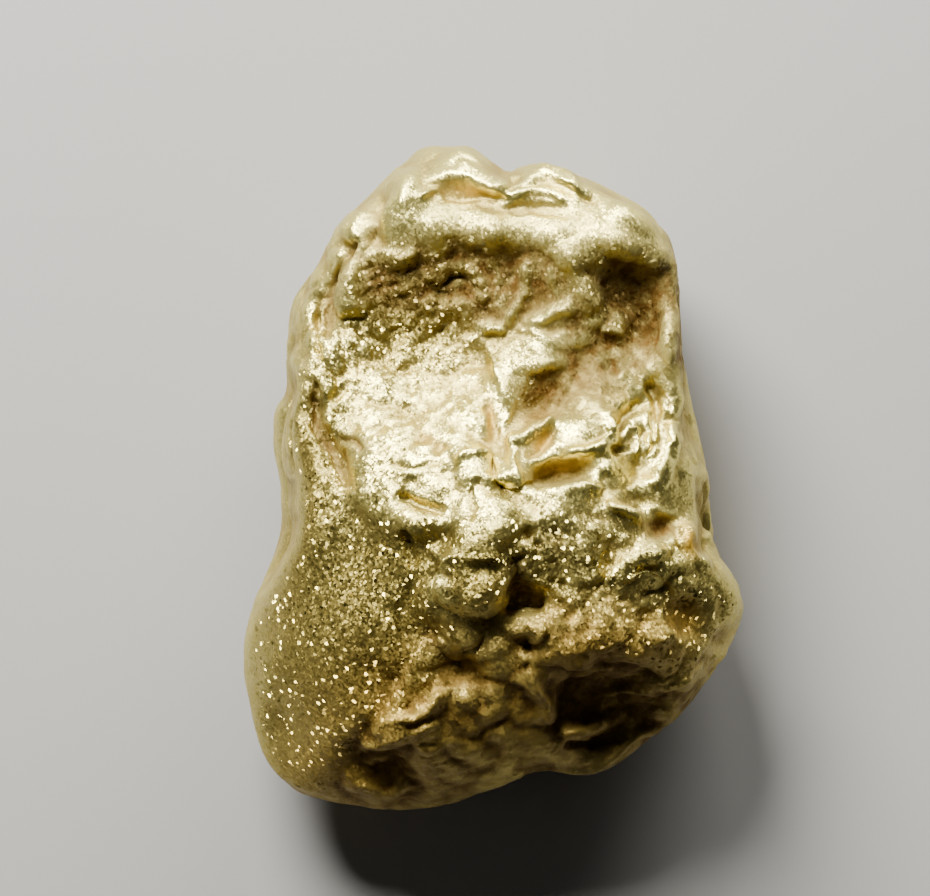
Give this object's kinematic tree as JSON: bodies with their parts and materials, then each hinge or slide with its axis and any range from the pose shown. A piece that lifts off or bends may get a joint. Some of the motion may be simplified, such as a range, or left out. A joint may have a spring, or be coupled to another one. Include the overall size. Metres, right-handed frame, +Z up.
{
  "type": "gold nugget",
  "caption": "Natural lump of native gold lying on its worn underside: scooped upper face with a rolled rim, folds and pits, frosted lower lobe.",
  "frame": {"origin": "bottom centre of the nugget's bounding box, on the surface it lies on", "axes": "+X across the width, +Y along the length towards the rolled rim, +Z up out of the scooped face"},
  "size_m": [0.0165, 0.022, 0.0108],
  "materials": {
    "native_gold": "native gold, tumbled smooth and bright on the high rims, frosted and grainy in the hollows, iron-stained in the pits"
  },
  "bodies": {
    "root": {"nugget": "native_gold"}
  },
  "joints": []
}
